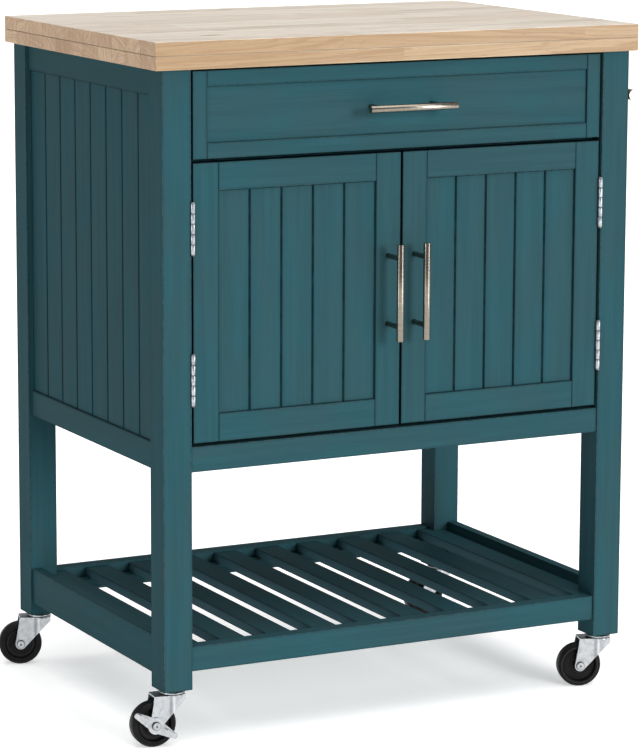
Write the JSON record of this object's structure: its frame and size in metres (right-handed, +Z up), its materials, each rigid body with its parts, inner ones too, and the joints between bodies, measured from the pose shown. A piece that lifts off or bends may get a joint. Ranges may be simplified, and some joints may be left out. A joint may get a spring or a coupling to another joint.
{
  "type": "kitchen island cart",
  "caption": "Wheeled kitchen island cart: butcher-block worktop on a teal leg frame, drawer over two beadboard doors, slatted lower shelf, towel bar and swivel casters.",
  "frame": {"origin": "on the floor, under the centre of the cart's bounding box", "axes": "+Z up, -Y the front with the doors and drawer, +X towards the towel bar"},
  "size_m": [0.7638, 0.5308, 0.914],
  "materials": {
    "butcher_block": "clear satin over rubberwood staves",
    "teal_paint": "teal paint over wood with a dark glaze in the grooves, satin",
    "drawer_wood": "plain sealed wood, matt",
    "brushed_nickel": "brushed nickel",
    "zinc_plate": "bright zinc plate",
    "black_wheel": "hard black plastic, satin"
  },
  "bodies": {
    "carcass": {"worktop_upper_board": "butcher_block", "worktop_lower_board": "butcher_block", "front_left_leg": "teal_paint", "front_right_leg": "teal_paint", "back_left_leg": "teal_paint", "back_right_leg": "teal_paint", "left_side_panel": "teal_paint", "right_side_panel": "teal_paint", "side_top_rails": "teal_paint", "side_bottom_rails": "teal_paint", "back_panel": "teal_paint", "back_rails": "teal_paint", "cabinet_floor": "teal_paint", "front_bottom_rail": "teal_paint", "divider_rail": "teal_paint", "top_stretchers": "teal_paint", "runner_cleats": "drawer_wood", "inner_shelf": "teal_paint", "shelf_pins": "zinc_plate", "slide_channels": "zinc_plate", "front_apron": "teal_paint", "back_apron": "teal_paint", "side_aprons": "teal_paint", "shelf_slats": "teal_paint", "slat_cleats": "teal_paint", "towel_bar": "brushed_nickel", "hinge_leg_leaves": "zinc_plate", "hinge_pins": "zinc_plate", "door_catches": "zinc_plate", "caster_stems": "zinc_plate"},
    "drawer": {"drawer_front_frame": "teal_paint", "drawer_front_panel": "teal_paint", "drawer_box": "drawer_wood", "drawer_bottom": "drawer_wood", "drawer_pull": "brushed_nickel", "slide_runners": "zinc_plate"},
    "left_door": {"left_door_frame": "teal_paint", "left_door_panel": "teal_paint", "left_door_pull": "brushed_nickel", "left_door_hinge_leaves": "zinc_plate", "left_door_strike": "zinc_plate"},
    "right_door": {"right_door_frame": "teal_paint", "right_door_panel": "teal_paint", "right_door_pull": "brushed_nickel", "right_door_hinge_leaves": "zinc_plate", "right_door_strike": "zinc_plate"},
    "front_left_caster": {"front_left_fork": "zinc_plate", "front_left_axle": "zinc_plate"},
    "front_left_wheel": {"front_left_wheel": "black_wheel"},
    "front_left_brake_lever": {"front_left_brake": "zinc_plate"},
    "front_right_caster": {"front_right_fork": "zinc_plate", "front_right_axle": "zinc_plate"},
    "front_right_wheel": {"front_right_wheel": "black_wheel"},
    "back_left_caster": {"back_left_fork": "zinc_plate", "back_left_axle": "zinc_plate"},
    "back_left_wheel": {"back_left_wheel": "black_wheel"},
    "back_right_caster": {"back_right_fork": "zinc_plate", "back_right_axle": "zinc_plate"},
    "back_right_wheel": {"back_right_wheel": "black_wheel"},
    "back_right_brake_lever": {"back_right_brake": "zinc_plate"}
  },
  "joints": [
    {"name": "drawer_slide", "type": "slide", "parent": "carcass", "child": "drawer", "axis": [0, -1, 0], "range_m": [0, 0.28]},
    {"name": "left_door_hinge", "type": "hinge", "parent": "carcass", "child": "left_door", "pos_m": [-0.3027, -0.22962, 0.57875], "axis": [0, 0, -1], "range_deg": [0, 170]},
    {"name": "right_door_hinge", "type": "hinge", "parent": "carcass", "child": "right_door", "pos_m": [0.3018, -0.22962, 0.57875], "axis": [0, 0, 1], "range_deg": [0, 170]},
    {"name": "front_left_swivel", "type": "hinge", "parent": "carcass", "child": "front_left_caster", "pos_m": [-0.32445, -0.20863, 0.0685], "axis": [0, 0, 1], "continuous": true},
    {"name": "front_left_wheel_spin", "type": "hinge", "parent": "front_left_caster", "child": "front_left_wheel", "pos_m": [-0.35135, -0.20627, 0.03], "axis": [0.0872, 0.9962, 0], "continuous": true},
    {"name": "front_left_brake_press", "type": "hinge", "parent": "front_left_caster", "child": "front_left_brake_lever", "pos_m": [-0.35135, -0.20627, 0.03], "axis": [-0.0872, -0.9962, 0], "range_deg": [0, 30]},
    {"name": "front_right_swivel", "type": "hinge", "parent": "carcass", "child": "front_right_caster", "pos_m": [0.32355, -0.20863, 0.0685], "axis": [0, 0, 1], "continuous": true},
    {"name": "front_right_wheel_spin", "type": "hinge", "parent": "front_right_caster", "child": "front_right_wheel", "pos_m": [0.29787, -0.20028, 0.03], "axis": [0.309, 0.9511, 0], "continuous": true},
    {"name": "back_left_swivel", "type": "hinge", "parent": "carcass", "child": "back_left_caster", "pos_m": [-0.32445, 0.23938, 0.0685], "axis": [0, 0, 1], "continuous": true},
    {"name": "back_left_wheel_spin", "type": "hinge", "parent": "back_left_caster", "child": "back_left_wheel", "pos_m": [-0.35013, 0.24772, 0.03], "axis": [0.309, 0.9511, 0], "continuous": true},
    {"name": "back_right_swivel", "type": "hinge", "parent": "carcass", "child": "back_right_caster", "pos_m": [0.32355, 0.23938, 0.0685], "axis": [0, 0, 1], "continuous": true},
    {"name": "back_right_wheel_spin", "type": "hinge", "parent": "back_right_caster", "child": "back_right_wheel", "pos_m": [0.29655, 0.23938, 0.03], "axis": [0, 1, 0], "continuous": true},
    {"name": "back_right_brake_press", "type": "hinge", "parent": "back_right_caster", "child": "back_right_brake_lever", "pos_m": [0.29655, 0.23938, 0.03], "axis": [0, -1, 0], "range_deg": [0, 30]}
  ]
}
